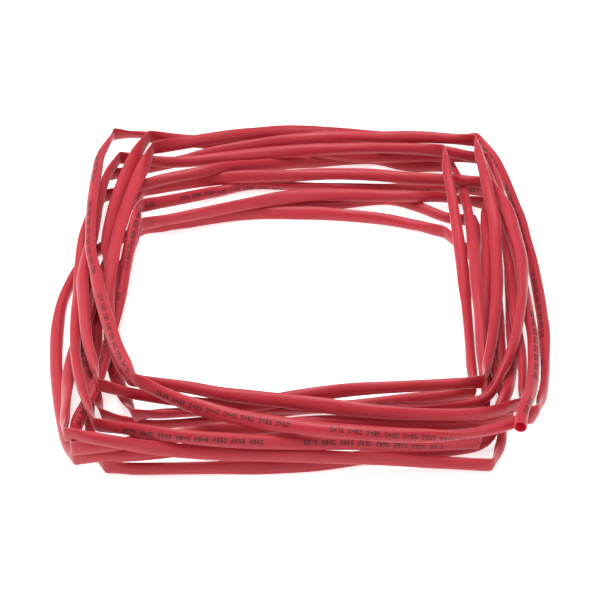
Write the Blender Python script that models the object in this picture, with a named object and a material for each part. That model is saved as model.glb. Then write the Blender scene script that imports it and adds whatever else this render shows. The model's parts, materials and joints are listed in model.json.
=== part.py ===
"""Heat shrink tube: five metres of thin-wall tubing wound by hand into a loose four-cornered hank.

The tube is one piece. Along each side it lies slack and nearly round, and at each corner it folds
flat like a blade on edge, as a thin tube does when it is bent too tightly. The hank lies on the
plane z = 0, with the cut end at its front right corner. Metres, +Z up.
"""

import math

import bpy
import numpy as np

# The tube, as it is supplied before it is shrunk
BORE = 0.0031
WALL = 0.0002
TUBE = BORE + 2 * WALL
ENGINEERING_SIDES = 8
SHARP_CORNER = 60  # degrees: only the cut ends have sharp edges

# The hank
HANK_WIDTH = 0.152
HANK_DEPTH = 0.170
TURN_GAP = 0.0004  # air left between turns that lie on each other

# The folds at the corners
FOLD_HEIGHT = 1.35 * TUBE  # a flattened tube is taller than a round one
FOLD_REACH = 1.6 * TUBE  # how far from a fold the tube has its usual section again
FOLD_SHOULDER = 0.35  # share of that reach where the fold's first ring lies
SLACK_OVAL = 0.15  # how much of a fold's flattening the tube keeps all along

# The path
STEP = TUBE  # spacing of the points that are moved apart
NEIGHBOUR_REACH = 3.5 * TUBE  # points closer than this along the tube may lie close
RING_SPACING = 6.2 * TUBE
SETTLE_ROUNDS = 260
SEARCH_EVERY = 20  # rounds between searches for turns that lie close
EASE = 0.7  # share of a push that is made at once
CROWDING = 0.6  # how much less each push counts where many meet
SMOOTHING = 0.15  # share of each neighbour's shift that a point takes on
FLOOR_CATCH = 0.0003  # a stretch this near the floor lies on it
MILLIMETRE = 0.001

# The route, chosen by hand, in millimetres on a hank of the drawn width and depth. Each side
# starts at its fold and runs to the next one, round a soft corner where the tube has not folded.
DRAWN_WIDTH = 152.0
DRAWN_DEPTH = 170.0
SIDES = (
    (
        (59.25, -85, 20.75), (60.75, -78.25, 19.75), (63.5, -70.25, 17.5), (65.75, -60, 15.25),
        (68.5, -37.75, 11.25), (68.75, -25.75, 9.75), (68.75, -11, 9), (67, 16, 9.75),
        (65.25, 32.75, 9), (64.75, 41.75, 8.5),
    ),
    (
        (62, 57, 10.25), (49.25, 62, 10.25), (31, 66, 9.25), (17.25, 70.75, 7.25),
        (0.75, 77.25, 4), (-28, 81.25, 2.5), (-37.25, 81, 3.25), (-47, 78.25, 6.25),
    ),
    (
        (-64.25, 73.75, 9.75), (-67.25, 58.25, 11.25), (-67.25, 46.75, 12.75),
        (-66.75, 24.5, 14.25), (-65, 1.75, 14.25), (-62.75, -8.25, 14.25), (-60, -21, 15),
        (-54.5, -41.75, 16.25), (-50.75, -53.5, 17.5),
    ),
    (
        (-46.25, -62.75, 17.25), (-30.5, -70.75, 15.5), (-11.5, -76.25, 14.75),
        (18.25, -81.75, 15.5), (32.25, -83.25, 16.25), (43.25, -83.75, 17.25), (55, -80.25, 17.5),
    ),
    (
        (65.75, -72.25, 16), (69.75, -56, 12), (72.5, -33.25, 8.75), (73.5, -18, 6.5),
        (74, 9.25, 3.5), (73.5, 21.5, 3), (73, 33.75, 2.25), (67.5, 69.75, 1.75),
    ),
    (
        (62.5, 82, 2.25), (50, 83.5, 1.75), (28.5, 83.75, 2.5), (-3.5, 80.25, 6.75),
        (-14, 77.25, 8), (-24, 73.5, 9.25), (-40.25, 67.5, 10.25),
    ),
    (
        (-49.75, 62, 12), (-53.75, 45.5, 11), (-57.25, 21.5, 10.75), (-58.25, 7.5, 11.5),
        (-58.5, -3.75, 12.25), (-58.25, -19.75, 11.5), (-52.75, -49, 12.75),
    ),
    (
        (-48.75, -59, 13.75), (-30.75, -61.75, 13.25), (-22.75, -63.5, 12.75),
        (-13.5, -64.5, 12.25), (-4.25, -65.5, 12), (24.75, -70.25, 11.75), (39.75, -72.25, 12.5),
        (50.25, -72.5, 12.75),
    ),
    (
        (61.75, -66.5, 10.25), (63.5, -52, 10.75), (64.5, -25.5, 8.5), (65.75, -4.75, 6),
        (66.5, 17.75, 5.75), (65.75, 47.75, 5.75),
    ),
    (
        (63.5, 61.75, 8), (53.25, 63, 7.5), (44.5, 65, 6.25), (27.75, 66.75, 4.75),
        (17.5, 67.75, 4.75), (7, 68.5, 5.75), (-10.75, 72.25, 4.5), (-29, 73.25, 6),
        (-40.5, 71.25, 8.5),
    ),
    (
        (-51.5, 70.25, 10.75), (-54.5, 60, 11.5), (-59, 42, 9.75), (-61, 26.75, 9),
        (-61.75, 8.75, 9), (-60.25, -7.25, 8.75), (-58.75, -22, 5.75), (-55.5, -41.5, 4.25),
    ),
    (
        (-47.5, -65, 5.75), (-35.5, -63.5, 5.5), (23.5, -59.75, 4.5), (42.75, -60.25, 5.5),
        (52.25, -61.25, 9), (58, -53.25, 11.25), (61.75, -45, 13.25), (66.25, -25, 12.75),
        (68.75, -2.25, 12.75), (67.5, 14.5, 13.25), (66.25, 23.75, 13.75),
    ),
    (
        (62.25, 40.75, 11.5), (48.5, 48, 8), (37, 50.25, 7.25), (23.25, 52.75, 7), (8.5, 54.5, 6),
        (-3.5, 54, 5.5), (-17, 53.25, 5.5), (-35, 53, 3.5),
    ),
    (
        (-52.5, 49.75, 3.25), (-58, 34, 4.25), (-59.25, 20.5, 5.25), (-60.25, 8.75, 5),
        (-61.75, -15.25, 8.75), (-63.75, -22.5, 5.75), (-64.75, -33.25, 5.25), (-62.75, -43.25, 5),
        (-60, -52.25, 5.5),
    ),
    (
        (-56.75, -61.75, 3.75), (-42.75, -64, 2), (-20.75, -61.75, 1.75), (3.25, -57.5, 1.75),
        (16.5, -56.75, 2.5), (31.5, -55, 3),
    ),
    (
        (51.25, -53.75, 4.5), (50.75, -43.25, 5), (51, -32.75, 4.25), (51.25, -15, 4.5),
        (51.25, 3, 5.5), (50.5, 25.5, 8), (49.75, 38.75, 10), (49, 47.25, 12),
    ),
    (
        (48.75, 58.75, 12.75), (37.75, 61.5, 12), (13.5, 65.5, 9.25), (-6.75, 65.75, 7.75),
        (-25.5, 63, 7.5), (-42.5, 60.25, 7.5),
    ),
    (
        (-61.25, 60, 9.25), (-64.25, 48.25, 10.75), (-65.75, 34.75, 10.25), (-66, 14.75, 11),
        (-67, -7, 11), (-65, -23, 12), (-62.5, -38.5, 11.25), (-59.75, -48.75, 12),
    ),
    (
        (-57, -58.5, 11.5), (-46.25, -59.75, 9.5), (-34.75, -62.5, 9.5), (-20.5, -63.75, 8.75),
        (-10.5, -62.5, 8.5), (-0.25, -60, 8.75), (14.75, -58.5, 10), (37.25, -58.25, 11.25),
    ),
    (
        (52.5, -58.75, 12.75), (54.5, -48.5, 11.5), (56.5, -38.25, 11), (59.5, -18, 10.25),
        (60.75, -5.25, 10.5), (61.75, 7.75, 10.75), (62.5, 19.5, 12.25), (61, 39.75, 15.5),
        (60.25, 51.5, 15),
    ),
    (
        (59.5, 62.25, 14.5), (42.5, 66, 13.25), (27.5, 66.75, 12.75), (17.25, 69.5, 11.25),
        (3.25, 71.5, 9.25), (-27.75, 67.75, 6.5), (-41, 63.75, 5.25), (-53.75, 60.5, 4),
    ),
    (
        (-65, 53.75, 6), (-67.75, 30.75, 6.5), (-68.5, 15.5, 8), (-68.5, 6.75, 7),
        (-67.25, -11, 7), (-66.5, -22.5, 8.5), (-66, -34.25, 8.75), (-65, -44.25, 10.25),
        (-62.75, -55.75, 11.5), (-59.75, -66.25, 12),
    ),
    (
        (-56.75, -75.25, 11.75), (-37, -80.25, 12.75), (-16.5, -80.75, 11.25), (-7.25, -80, 10.25),
        (18.75, -78.25, 8.5), (36.25, -78, 7.75),
    ),
    (
        (50.75, -77, 8), (53.75, -59.75, 5.75), (54, -51.25, 7.25), (53.75, -37.75, 8.5),
        (54.5, -23.5, 9.75), (54.5, -11, 11), (55.25, 6.5, 9), (55, 31.75, 6.75),
        (54.25, 43.25, 6.5),
    ),
    (
        (52.25, 63.75, 3), (36.25, 65.75, 1.75), (26, 70, 1.75), (8.25, 68.5, 1.75),
        (-3.5, 65.5, 3.25), (-13.75, 61.25, 5), (-25.25, 56, 7.5), (-32.75, 52.5, 8),
        (-46.25, 49.5, 7), (-55.5, 46, 6.25),
    ),
    (
        (-65.75, 46.75, 3.25), (-68.25, 28.25, 3), (-67, 13.5, 4.75), (-64.75, -3.25, 4.25),
        (-62.5, -15.5, 5.25), (-61.75, -21.75, 3), (-60, -42, 1.75), (-60.25, -51.5, 1.75),
        (-60, -62.25, 1.75), (-58.5, -72.5, 1.75),
    ),
    (
        (-55, -81.25, 2.25), (-38, -81.5, 1.75), (-0.75, -80.25, 1.75), (15.5, -77.75, 1.75),
        (26.25, -75.5, 2), (42.5, -74.75, 2.5), (53, -71, 3), (58.75, -62, 9.25), (61, -51, 7.75),
        (62.25, -40.25, 7), (63, -27.75, 4.75), (64.75, -8, 2.25), (67, 18.25, 1.75),
        (67.5, 28, 1.75), (67.75, 39.5, 1.75),
    ),
    (
        (60.5, 50.75, 2.25), (47.25, 53, 1.75), (23.75, 53, 1.75), (-5, 54.5, 1.75),
        (-17, 54.75, 1.75), (-27.25, 51.5, 1.75), (-41.25, 41.25, 4.75),
    ),
    (
        (-51.75, 31, 9), (-53, 19, 9.25), (-54.25, 6, 8.5), (-55.25, -10.5, 8),
        (-55.75, -19.5, 8.25), (-57, -37, 8.25), (-57.5, -46.5, 8.5), (-58.75, -55.75, 8.75),
        (-62, -66.75, 7),
    ),
    (
        (-62.25, -80.75, 8.25), (-49.5, -80.5, 8.75), (-34, -75.75, 8), (-23.75, -73, 8),
        (-7.5, -70.75, 7.5), (5.5, -69, 7.25), (16.75, -69.25, 7.5), (35.75, -70.75, 8.25),
        (47, -70.75, 9.25),
    ),
    (
        (57.75, -67.75, 8.25), (57.25, -57.25, 5.25), (56.25, -43.5, 5.5), (55.75, -33.5, 5.25),
        (56.5, -20, 6.5), (57.25, -8.5, 8.25), (58.25, 3, 7.75), (59.25, 14.5, 6.5),
        (60.5, 30, 5.5),
    ),
    (
        (61.5, 41.5, 4), (49.75, 44.75, 3.75), (38.5, 42.25, 5.75), (28.25, 43, 5.5), (3, 43, 6),
        (-10, 40.25, 6), (-39.25, 31, 5.75),
    ),
    (
        (-51.75, 27.25, 6), (-53.75, 21, 4.25), (-55.5, 13, 3), (-59.75, -4.5, 2),
        (-65.25, -18.5, 1.75), (-67.75, -39, 3.25), (-66.5, -63, 7.5),
    ),
    (
        (-65, -79.25, 11.25), (-51.75, -82.75, 12.25), (-41.25, -82, 9.5), (-29, -81.5, 7.75),
        (14.75, -80.5, 4.75), (36.25, -79.75, 2.5),
    ),
    (
        (53.25, -80.75, 2.25), (56.5, -70.75, 1.75), (57.5, -61.5, 1.75), (59.25, -47, 2.5),
        (59.5, -32.75, 5.75), (60, -11.25, 5.75), (55.25, 12.75, 4),
    ),
    (
        (47.25, 26.75, 3), (33, 33.5, 2), (13.5, 37.25, 1.75), (0, 38.5, 1.75),
        (-19.75, 37.5, 1.75),
    ),
    (
        (-50.25, 29.25, 2.25), (-62.25, 21.25, 1.75), (-68.75, 13, 1.75), (-73, -2.75, 1.75),
        (-74, -14.25, 1.75), (-72.25, -39.5, 1.75), (-66, -70.25, 1.75),
    ),
    (
        (-62.25, -80.25, 2.75), (-44.5, -81.25, 5.5), (-25.5, -74.75, 3.25), (-5.75, -69.75, 2),
        (10.75, -67.75, 1.75), (24, -67.25, 1.75), (37, -67.75, 1.75),
    ),
    (
        (47.5, -67, 2.25), (53.75, -52.5, 1.75), (58, -35.75, 1.75), (60.25, -25.5, 1.75),
        (61, 0.25, 1.75), (60, 11.75, 1.75), (59.25, 23.75, 1.75),
    ),
    (
        (57.75, 33.25, 2.25), (48.75, 35.75, 1.75), (38.25, 42.75, 1.75), (30.25, 46.25, 1.75),
        (10, 43.5, 1.75),
    ),
)
LAST_POINT = (-12.5, 41.75, 1.75)

# Red cross-linked polyolefin, extruded
TUBE_COLOUR = (0.584, 0.069, 0.082, 1.0)
TUBE_ROUGHNESS = 0.42


def clear_scene():
    for obj in list(bpy.data.objects):
        bpy.data.objects.remove(obj, do_unlink=True)


def placed(point):
    """A drawn point in metres, on a hank of the stated width and depth."""
    x, y, z = point
    return (
        x * HANK_WIDTH / DRAWN_WIDTH,
        y * HANK_DEPTH / DRAWN_DEPTH,
        z * MILLIMETRE,
    )


def sides_of_route():
    """Each side of each turn as its points, from one fold to the next."""
    starts = [side[0] for side in SIDES[1:]] + [LAST_POINT]
    return [np.array([placed(p) for p in side + (end,)]) for side, end in zip(SIDES, starts)]


def smooth_curve(points, spacing):
    """Points about a spacing apart on a smooth curve through the given ones."""
    gaps = np.sqrt(np.linalg.norm(np.diff(points, axis=0), axis=1))
    knots = np.concatenate([[0.0], np.cumsum(gaps)])
    slopes = np.gradient(points, knots, axis=0)
    curve = []
    for i in range(len(points) - 1):
        span = knots[i + 1] - knots[i]
        count = max(2, round(np.linalg.norm(points[i + 1] - points[i]) / spacing))
        for t in np.arange(count) / count:
            curve.append(
                (2 * t**3 - 3 * t**2 + 1) * points[i]
                + (t**3 - 2 * t**2 + t) * span * slopes[i]
                + (3 * t**2 - 2 * t**3) * points[i + 1]
                + (t**3 - t**2) * span * slopes[i + 1]
            )
    return np.array(curve)


def drawn_path():
    """The whole centreline as drawn, and the places in it that are folds."""
    pieces = [smooth_curve(side, STEP) for side in sides_of_route()]
    folds = np.cumsum([len(piece) for piece in pieces])[:-1]
    return np.concatenate(pieces + [np.array([placed(LAST_POINT)])]), folds


def lengths_along(path):
    return np.concatenate([[0.0], np.cumsum(np.linalg.norm(np.diff(path, axis=0), axis=1))])


def flattening(along, fold_places):
    """1 at a fold, and the little that stays all along away from it."""
    near = np.abs(along[:, None] - fold_places[None]).min(axis=1)
    share = np.clip(1 - near / FOLD_REACH, 0, 1)
    return SLACK_OVAL + (1 - SLACK_OVAL) * share * share * (3 - 2 * share)


def half_sizes(flat):
    """Half the width and half the height of the tube, whose wall keeps its length round."""
    height = TUBE + (FOLD_HEIGHT - TUBE) * flat
    width = (math.pi * TUBE - 2 * height) / (math.pi - 2)
    return width / 2, height / 2


def settle(path, folds):
    """Turns that would pass through each other or the floor are moved apart, a little at a time."""
    drawn = path.copy()
    along = lengths_along(path)
    heights = half_sizes(flattening(along, along[folds]))[1]
    apart = np.triu(np.abs(along[:, None] - along[None]) > NEIGHBOUR_REACH)
    reach = TUBE + TURN_GAP
    for round_number in range(SETTLE_ROUNDS):
        if round_number % SEARCH_EVERY == 0:
            between = path[:, None] - path[None]
            first, second = np.where(apart & ((between**2).sum(axis=2) < (2 * reach) ** 2))
            squeeze = (heights[first] + heights[second]) / TUBE
        offset = path[first] - path[second]
        offset[:, 2] /= squeeze
        distance = np.maximum(np.linalg.norm(offset, axis=1), 1e-9)
        touching = distance < reach
        i, j = first[touching], second[touching]
        push = offset[touching] / distance[touching, None]
        push *= 0.5 * (reach - distance[touching, None])
        moves = np.zeros_like(path)
        contacts = np.zeros(len(path))
        np.add.at(moves, i, push)
        np.add.at(moves, j, -push)
        np.add.at(contacts, i, 1)
        np.add.at(contacts, j, 1)
        path = path + EASE * moves / np.maximum(contacts, 1)[:, None] ** CROWDING
        shift = path - drawn
        around = shift[:-2] + shift[2:]
        shift[1:-1] = (1 - 2 * SMOOTHING) * shift[1:-1] + SMOOTHING * around
        path = drawn + shift
        path[:, 2] = np.maximum(path[:, 2], heights)
    low = path[:, 2] < heights + FLOOR_CATCH
    path[low, 2] = heights[low]
    return path


def ring_places(along, folds):
    """Where the rings of the tube's skin go, counted along the tube."""
    stops = np.concatenate([[along[0]], along[folds], [along[-1]]])
    places = []
    for number, (start, end) in enumerate(zip(stops[:-1], stops[1:])):
        close = (FOLD_SHOULDER * FOLD_REACH, FOLD_REACH)
        before = [start + reach for reach in close] if number else []
        after = [end - reach for reach in reversed(close)] if number < len(stops) - 2 else []
        low = before[-1] if before else start
        high = after[0] if after else end
        count = max(2, round((high - low) / RING_SPACING))
        middle = np.linspace(low, high, count + 1)[1:-1]
        places += [start] + before + list(middle) + after
    return np.array(places + [along[-1]])


def tube_rings(path, folds):
    """Outer and inner ring of corners at each place along the tube."""
    along = lengths_along(path)
    places = ring_places(along, folds)
    flat = flattening(places, along[folds])
    centres = np.stack([np.interp(places, along, path[:, axis]) for axis in range(3)], axis=1)
    centres[:, 2] = np.maximum(centres[:, 2], half_sizes(flat)[1])  # none sinks into the floor
    ahead = np.diff(centres, axis=0)
    ahead /= np.linalg.norm(ahead, axis=1)[:, None]
    arriving = np.concatenate([ahead[:1], ahead])
    leaving = np.concatenate([ahead, ahead[-1:]])
    rings = []
    for centre, a, b, f in zip(centres, arriving, leaving, flat):
        tangent = (a + b) / np.linalg.norm(a + b)
        sideways = np.cross(tangent, (0.0, 0.0, 1.0))
        sideways /= np.linalg.norm(sideways)
        upward = np.cross(sideways, tangent)
        stretch = 1 / max(float(tangent @ b), 0.5)  # a mitre is wider than the tube
        half_width, half_height = half_sizes(f)
        pair = []
        for wall in (0.0, WALL):
            wide = (half_width - wall) * stretch
            tall = half_height - wall
            pair.append([centre + x * wide * sideways + y * tall * upward for x, y in outline()])
        rings.append(pair)
    return rings


def outline():
    """Corners of a regular polygon around a unit circle, flat on its top and bottom."""
    corner = 1 / math.cos(math.pi / ENGINEERING_SIDES)
    for number in range(ENGINEERING_SIDES):
        turn = (number + 0.5) * 2 * math.pi / ENGINEERING_SIDES
        yield corner * math.cos(turn), corner * math.sin(turn)


def tube_mesh(rings):
    """The outer skin, the bore and the two cut faces as one closed mesh."""
    corners = np.array([corner for pair in rings for ring in pair for corner in ring])
    low, high = corners.min(axis=0), corners.max(axis=0)
    corners[:, :2] -= (low[:2] + high[:2]) / 2
    faces = []
    for number in range(len(rings)):
        for side in range(ENGINEERING_SIDES):
            following = (side + 1) % ENGINEERING_SIDES
            outer = 2 * number * ENGINEERING_SIDES
            inner = outer + ENGINEERING_SIDES
            if number == 0:
                faces.append((outer + side, outer + following, inner + following, inner + side))
            if number == len(rings) - 1:
                faces.append((outer + side, inner + side, inner + following, outer + following))
                continue
            ahead = 2 * ENGINEERING_SIDES
            for base, flip in ((outer, True), (inner, False)):
                face = (base + side, base + following, base + following + ahead, base + side + ahead)
                faces.append(face[::-1] if flip else face)
    mesh = bpy.data.meshes.new("heat_shrink_tube")
    mesh.from_pydata([tuple(corner) for corner in corners], [], faces)
    mesh.validate()
    mesh.shade_smooth()
    mesh.set_sharp_from_angle(angle=math.radians(SHARP_CORNER))
    return mesh


def polyolefin():
    material = bpy.data.materials.new("red_polyolefin")
    material.use_nodes = True
    shader = material.node_tree.nodes["Principled BSDF"]
    shader.inputs["Base Color"].default_value = TUBE_COLOUR
    shader.inputs["Roughness"].default_value = TUBE_ROUGHNESS
    shader.inputs["Metallic"].default_value = 0.0
    material.diffuse_color = TUBE_COLOUR
    return material


def main():
    clear_scene()
    path, folds = drawn_path()
    path = settle(path, folds)
    mesh = tube_mesh(tube_rings(path, folds))
    mesh.materials.append(polyolefin())
    tube = bpy.data.objects.new("heat_shrink_tube", mesh)
    collection = bpy.data.collections.new("heat_shrink_tube_hank")
    bpy.context.scene.collection.children.link(collection)
    collection.objects.link(tube)
    print(f"tube length {lengths_along(path)[-1]:.4f} m, {len(mesh.polygons)} faces")


main()
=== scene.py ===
# %% [markdown]
# Heat shrink tube in a hank.
# The object is one length of thin-wall heat shrink tube, about five metres of it, wound by hand
# into a loose four-cornered hank. The tube is soft and hollow, so it lies slack and a little
# flattened along the sides, and folds flat wherever the hank turns a corner.
# This lesson sets up the camera, the floor and the light first, then makes the path of the tube,
# its skin, its plastic and its printed length marks.

# %% Load the frame
import json
import math

import bpy
import numpy as np
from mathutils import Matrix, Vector

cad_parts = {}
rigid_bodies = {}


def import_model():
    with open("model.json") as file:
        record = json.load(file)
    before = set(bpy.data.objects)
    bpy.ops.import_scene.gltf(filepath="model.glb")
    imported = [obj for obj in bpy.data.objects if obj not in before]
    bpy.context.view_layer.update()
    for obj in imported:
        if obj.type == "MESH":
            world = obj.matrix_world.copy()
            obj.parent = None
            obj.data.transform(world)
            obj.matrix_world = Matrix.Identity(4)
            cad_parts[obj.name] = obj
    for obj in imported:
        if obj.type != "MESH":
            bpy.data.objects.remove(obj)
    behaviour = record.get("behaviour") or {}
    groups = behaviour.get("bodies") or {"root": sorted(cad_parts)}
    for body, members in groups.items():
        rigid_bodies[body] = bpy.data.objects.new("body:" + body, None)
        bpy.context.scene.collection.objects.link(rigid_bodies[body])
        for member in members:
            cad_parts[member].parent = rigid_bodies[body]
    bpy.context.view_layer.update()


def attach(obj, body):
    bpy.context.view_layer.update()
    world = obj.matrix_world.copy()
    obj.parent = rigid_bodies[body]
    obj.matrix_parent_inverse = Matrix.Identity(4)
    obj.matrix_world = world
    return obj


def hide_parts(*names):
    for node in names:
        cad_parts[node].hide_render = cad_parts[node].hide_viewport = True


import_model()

CAD_NODE = "heat_shrink_tube"

# %% [markdown]
# Colours and nodes.
# Colours are written as the hex values that a colour picker gives, which are sRGB. Blender's
# shaders count in linear light, so one small function turns the one into the other. A second
# one adds a node, sets its values and links its inputs, which keeps every material short.


# %% Helpers for colours and nodes
def linear_colour(hex_code):
    """A hex colour such as c94a50 as linear red, green, blue and a full alpha."""
    values = [int(hex_code[i : i + 2], 16) / 255 for i in (0, 2, 4)]
    return tuple(((v + 0.055) / 1.055) ** 2.4 if v > 0.04045 else v / 12.92 for v in values) + (1.0,)


def add_node(tree, kind, settings=None, **inputs):
    """A node of that kind. Inputs are plain values, or sockets to link from.

    An input is named with _ for each space, or with _ and its number, such as _0 for the first.
    """
    node = tree.nodes.new(kind)
    for name, value in (settings or {}).items():
        setattr(node, name, value)
    for name, value in inputs.items():
        key = int(name[1:]) if name[1:].isdigit() else name.replace("_", " ")
        if isinstance(value, bpy.types.NodeSocket):
            tree.links.new(value, node.inputs[key])
        else:
            node.inputs[key].default_value = value
    return node


def new_material(name):
    """An empty material with its output node, ready for a shader."""
    material = bpy.data.materials.new(name)
    material.use_nodes = True
    material.node_tree.nodes.clear()
    output = material.node_tree.nodes.new("ShaderNodeOutputMaterial")
    return material, material.node_tree, output


def set_ramp(node, stops):
    """Gives a Color Ramp its stops, each a place from 0 to 1 and a colour or a grey value."""
    elements = node.color_ramp.elements
    while len(elements) < len(stops):
        elements.new(0.5)
    for element, (place, colour) in zip(elements, stops):
        element.position = place
        element.color = colour if isinstance(colour, tuple) else (colour, colour, colour, 1.0)


print("a mid red in linear light:", [round(v, 3) for v in linear_colour("c94a50")[:3]])

# %% [markdown]
# Camera.
# A product photographer stands well back with a long lens, so the near and the far side of the
# hank look almost equally large. The camera looks down at about forty degrees.

# %% Camera
CAMERA_PLACE = (0.0001, -0.41888, 0.33479)  # in metres from the middle of the hank, on the floor
CAMERA_DOWN = 39.0  # degrees below the horizon
FRAME_PIXELS = 600
FOCAL_PIXELS = 1700.0  # focal length in pixels of a 600 pixel frame
SENSOR_WIDTH = 36.0  # in millimetres
NEAREST_SEEN = 0.01  # the camera sees nothing closer than this, in metres

camera_data = bpy.data.cameras.new("product_camera")
camera_data.sensor_width = SENSOR_WIDTH
camera_data.lens = FOCAL_PIXELS / FRAME_PIXELS * SENSOR_WIDTH
camera_data.clip_start = NEAREST_SEEN
camera = bpy.data.objects.new("product_camera", camera_data)
camera.location = CAMERA_PLACE
camera.rotation_euler = (math.radians(90 - CAMERA_DOWN), 0.0, 0.0)
bpy.context.scene.collection.objects.link(camera)
bpy.context.scene.camera = camera
print("lens", round(camera_data.lens, 1), "mm")

# %% [markdown]
# Floor and light.
# The real hank lies on a white sweep that is lit until it turns pure white, so hardly any shadow
# is left under it. Photographers use a sheet of opal acrylic with light behind it for that. A
# large pale floor that glows a little, a bright sky dome and three wide soft lamps do the same.
# Blender's Standard view keeps white paper white, where its default view would turn it grey.

# %% Floor
FLOOR_HALF = 3.0
FLOOR_DROP = 0.00005  # keeps the floor's face just under the tube's lowest line
FLOOR_GLOW = 0.66
FLOOR_ROUGHNESS = 0.9
FLOOR_GLOSS = 0.1
SQUARE = ((-1, -1), (1, -1), (1, 1), (-1, 1))

floor_mesh = bpy.data.meshes.new("white_sweep")
floor_corners = [(x * FLOOR_HALF, y * FLOOR_HALF, -FLOOR_DROP) for x, y in SQUARE]
floor_mesh.from_pydata(floor_corners, [], [(0, 1, 2, 3)])
floor = bpy.data.objects.new("white_sweep", floor_mesh)
bpy.context.scene.collection.objects.link(floor)
material, tree, output = new_material("opal_acrylic_lit_from_below")
acrylic = add_node(
    tree,
    "ShaderNodeBsdfPrincipled",
    Base_Color=linear_colour("dcdcdc"),
    Roughness=FLOOR_ROUGHNESS,
    Specular_IOR_Level=FLOOR_GLOSS,
    Emission_Color=linear_colour("ffffff"),
    Emission_Strength=FLOOR_GLOW,
)
tree.links.new(acrylic.outputs[0], output.inputs["Surface"])
floor_mesh.materials.append(material)
print("the floor is", 2 * FLOOR_HALF, "m wide")

# %% Sky and lamps
SKY_STRENGTH = 0.40
world = bpy.data.worlds.new("white_tent")
world.use_nodes = True
sky = world.node_tree.nodes["Background"]
sky.inputs["Color"].default_value = linear_colour("ffffff")
sky.inputs["Strength"].default_value = SKY_STRENGTH
bpy.context.scene.world = world
bpy.context.scene.view_settings.view_transform = "Standard"


def soft_lamp(name, place, size, power):
    """A square lamp that faces the middle of the hank."""
    data = bpy.data.lights.new(name, "AREA")
    data.size = size
    data.energy = power
    lamp = bpy.data.objects.new(name, data)
    lamp.location = place
    lamp.rotation_euler = (-Vector(place)).to_track_quat("-Z", "Y").to_euler()
    bpy.context.scene.collection.objects.link(lamp)


# Each row is a lamp's name, its place and its width in metres, and its power in watts
LAMPS = (
    ("overhead_softbox", (-0.10, 0.15, 0.90), 0.50, 7.5),
    ("left_softbox", (-0.75, 0.10, 0.60), 0.45, 4.0),
    ("front_fill", (0.45, -0.90, 0.50), 0.60, 2.6),
)
for name, place, size, power in LAMPS:
    soft_lamp(name, place, size, power)
print("lamps:", len(LAMPS))

# %% [markdown]
# The path of the tube.
# The line that the tube follows is a list of places, given side by side from the open
# end, in millimetres. It is the same list as in the part's own source, so the looks lie where the
# solid is. A free hank could be simulated as a rope, but then no strand would lie where the
# photograph shows it.

# %% The tube's sizes and its route
BORE = 0.0031
WALL = 0.0002
TUBE = BORE + 2 * WALL
TURN_GAP = 0.0004  # air left between turns that lie on each other
FOLD_HEIGHT = 1.35 * TUBE  # a flattened tube is taller than a round one
FOLD_REACH = 1.6 * TUBE  # how far from a fold the tube has its usual section again
SLACK_OVAL = 0.15  # how much of a fold's flattening the tube keeps all along
STEP = TUBE  # spacing of the points that are moved apart
NEIGHBOUR_REACH = 3.5 * TUBE  # points closer than this along the tube may lie close
SETTLE_ROUNDS = 260
SEARCH_EVERY = 20  # rounds between searches for turns that lie close
EASE = 0.7  # share of a push that is made at once
CROWDING = 0.6  # how much less each push counts where many meet
SMOOTHING = 0.15  # share of each neighbour's shift that a point takes on
FLOOR_CATCH = 0.0003  # a stretch this near the floor lies on it
TINY = 1e-9  # keeps two points in one place from a division by zero
MILLIMETRE = 0.001

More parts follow.
